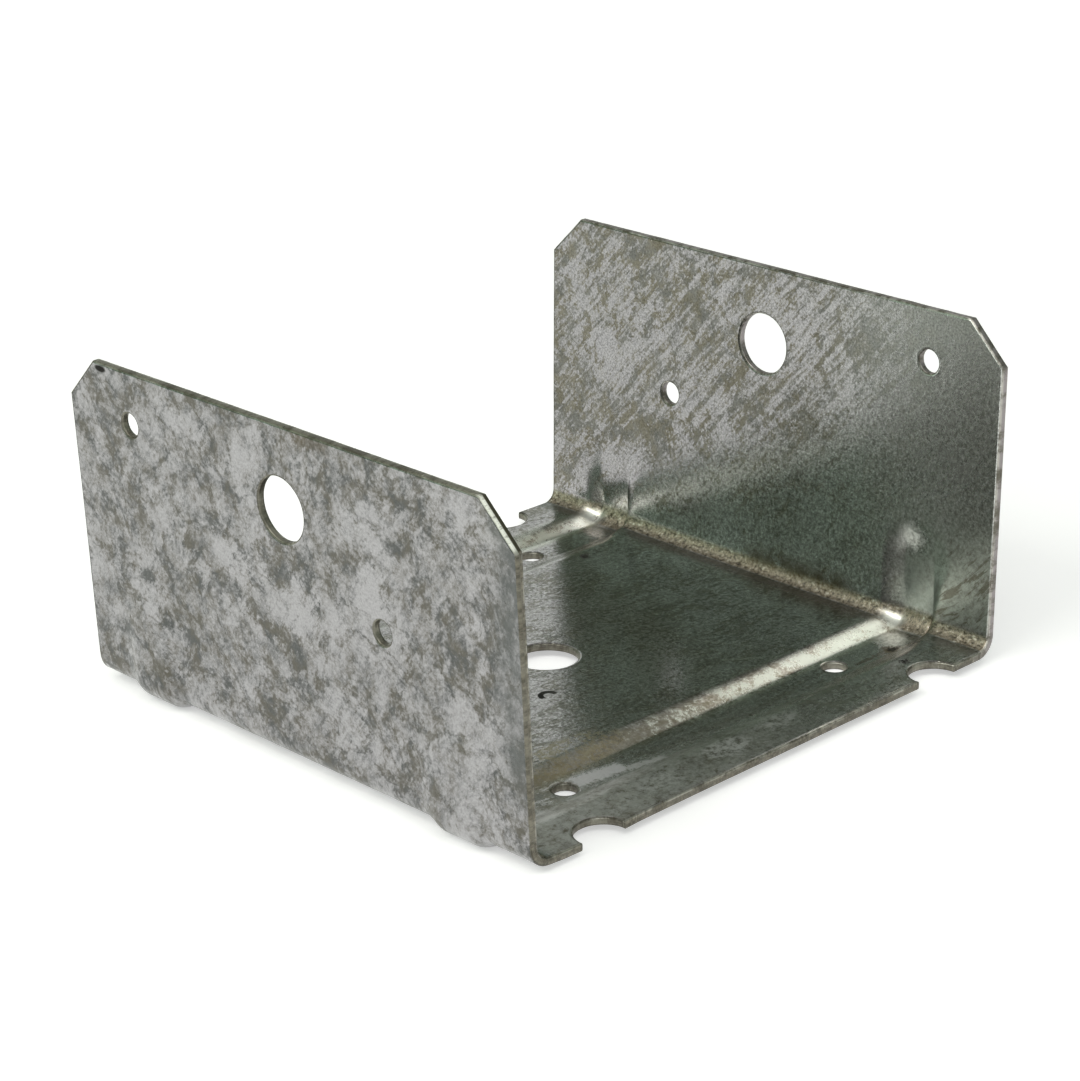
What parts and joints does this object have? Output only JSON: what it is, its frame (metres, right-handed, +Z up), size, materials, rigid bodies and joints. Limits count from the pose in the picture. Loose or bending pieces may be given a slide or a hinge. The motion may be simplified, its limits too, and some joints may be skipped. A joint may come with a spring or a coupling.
{
  "type": "post base",
  "caption": "Folded galvanised steel channel that holds the foot of a square timber post, with bolt, nail and anchor holes, edge notches and pressed stiffening ribs.",
  "frame": {"origin": "on the resting plane under the rib crests, below the middle of the base", "axes": "+X across the flanges, +Y along the folds towards the far open end, +Z up along the flanges"},
  "size_m": [0.1482, 0.1386, 0.078],
  "materials": {
    "galvanised_sheet": "mottled grey galvanised sheet with dull and bright patches"
  },
  "bodies": {
    "root": {"post_base": "galvanised_sheet"}
  },
  "joints": []
}
